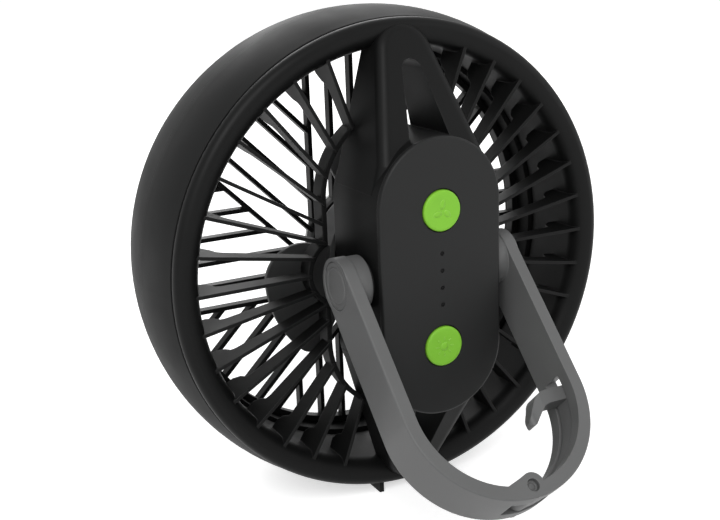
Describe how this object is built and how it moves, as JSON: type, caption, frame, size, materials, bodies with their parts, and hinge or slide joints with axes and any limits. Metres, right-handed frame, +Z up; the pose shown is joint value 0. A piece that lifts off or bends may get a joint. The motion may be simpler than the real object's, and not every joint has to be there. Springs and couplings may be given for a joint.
{
  "type": "portable camping fan",
  "caption": "Round battery fan on low feet with rear and front guards, a push-button pod, a front lamp, and a swinging U-shaped bail with a folding hook.",
  "frame": {"origin": "on the floor under the middle of the drum's depth, below the fan axis", "axes": "+Z up, fan axis along Y, front grille and lamp face -Y, control pod and bail face +Y, the bail's pivot axis is X above the origin's Y"},
  "size_m": [0.2088, 0.1605, 0.209],
  "materials": {
    "shell_black": "fine satin moulded",
    "guard_black": "satin moulded",
    "cover_black": "smooth satin",
    "inner_black": "plain moulded",
    "board_green": "solder mask",
    "lens_milky": "milky translucent",
    "button_green": "satin",
    "light_pipe": "clear",
    "switch_black": "plain",
    "bright_steel": "plated",
    "cell_wrap": "shrink sleeve",
    "handle_grey": "satin moulded",
    "pin_grey": "satin",
    "washer_rubber": "plain",
    "bronze": "sintered",
    "magnet_dark": "plain",
    "armature_copper": "wound",
    "rotor_grey": "satin moulded"
  },
  "bodies": {
    "housing": {"outer_shell": "shell_black", "front_bezel": "shell_black", "front_grille": "guard_black", "lamp_housing": "inner_black", "lamp_board": "board_green", "lamp_lens": "lens_milky", "rear_guard": "guard_black", "pod_housing": "guard_black", "pod_cover": "cover_black", "indicator_lights": "light_pipe", "control_board": "board_green", "button_switches": "switch_black", "charging_socket": "bright_steel", "battery_cells": "cell_wrap", "battery_tray": "inner_black", "pivot_pins": "bright_steel", "pivot_washers": "washer_rubber", "pivot_nuts": "bright_steel", "motor_mount": "inner_black", "mount_screws": "bright_steel", "motor_case": "bright_steel", "motor_bearings": "bronze", "motor_magnets": "magnet_dark"},
    "rotor": {"fan_blades": "rotor_grey", "motor_armature": "armature_copper", "motor_shaft": "bright_steel"},
    "bail": {"bail": "handle_grey", "pivot_caps": "handle_grey", "hook_pin": "pin_grey"},
    "hook": {"hook": "handle_grey"},
    "fan_button": {"fan_button": "button_green"},
    "light_button": {"light_button": "button_green"}
  },
  "joints": [
    {"name": "rotor_spin", "type": "hinge", "parent": "housing", "child": "rotor", "pos_m": [0, -0.039, 0.1046], "axis": [0, -1, 0], "continuous": true},
    {"name": "bail_swing", "type": "hinge", "parent": "housing", "child": "bail", "pos_m": [0, 0, 0.1046], "axis": [1, 0, 0], "range_deg": [-40, 131]},
    {"name": "hook_fold", "type": "hinge", "parent": "bail", "child": "hook", "pos_m": [0, 0.06876, 0.03407], "axis": [0, -0.7161, -0.698], "range_deg": [0, 128]},
    {"name": "fan_button_press", "type": "slide", "parent": "housing", "child": "fan_button", "axis": [0, -1, 0], "range_m": [0, 0.001], "stiffness_N_per_m": 800, "springref_m": -0.001},
    {"name": "light_button_press", "type": "slide", "parent": "housing", "child": "light_button", "axis": [0, -1, 0], "range_m": [0, 0.001], "stiffness_N_per_m": 800, "springref_m": -0.001}
  ]
}
